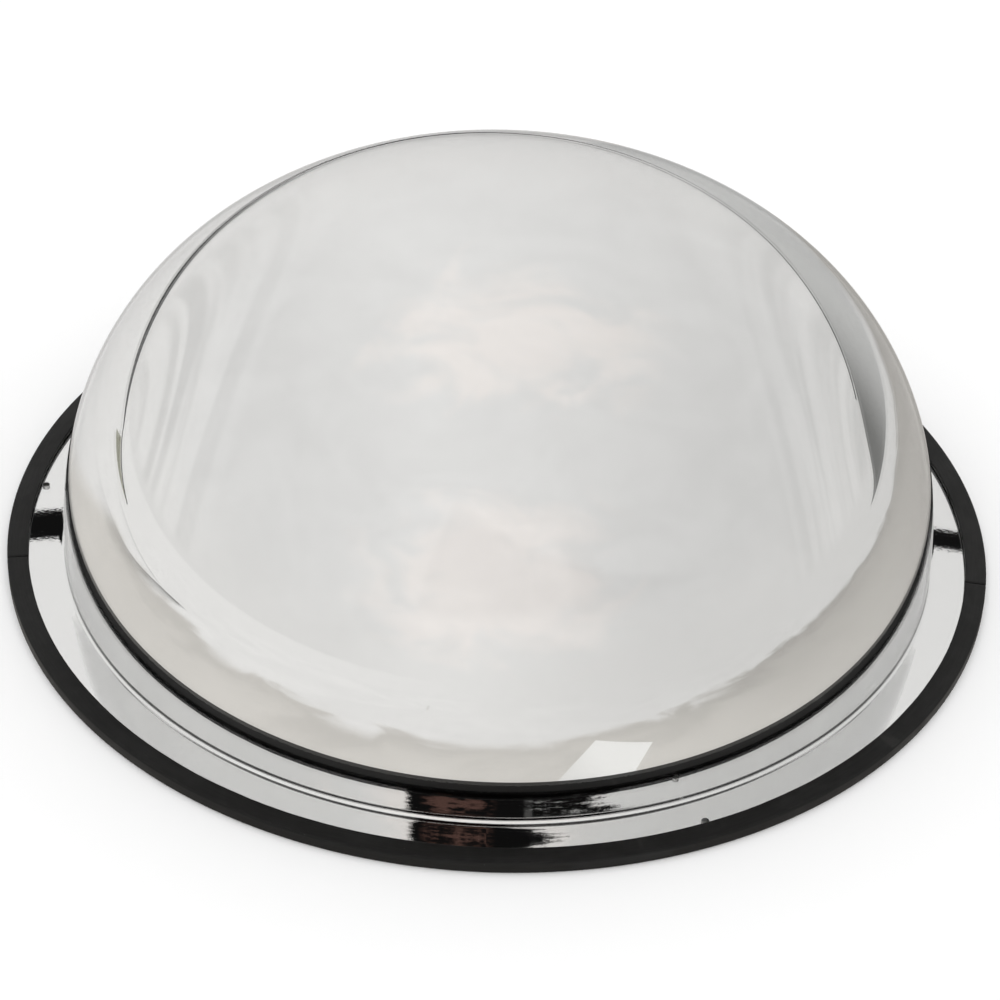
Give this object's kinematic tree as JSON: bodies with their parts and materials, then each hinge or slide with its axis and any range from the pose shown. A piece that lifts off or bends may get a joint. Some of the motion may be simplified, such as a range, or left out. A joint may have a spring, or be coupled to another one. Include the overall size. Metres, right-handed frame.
{
  "type": "full dome convex security mirror",
  "caption": "Full dome acrylic security mirror with a drilled flat flange and a black push-on edge trim, for all-round view from a ceiling.",
  "frame": {"origin": "on the dome's axis, in the plane of the trim's underside, which is the face that meets the ceiling", "axes": "+Z along the dome's axis towards its crown; one butt joint of the trim is 8 degrees from +X, and -Y is the pictured side"},
  "size_m": [0.66, 0.66, 0.2556],
  "materials": {
    "clear_acrylic": "polished clear",
    "mirror_film": "mirror",
    "back_paint": "matte",
    "black_trim": "satin"
  },
  "bodies": {
    "root": {"acrylic_dome": "clear_acrylic", "mirror_film": "mirror_film", "back_paint": "back_paint", "front_edge_trim": "black_trim", "rear_edge_trim": "black_trim"}
  },
  "joints": []
}
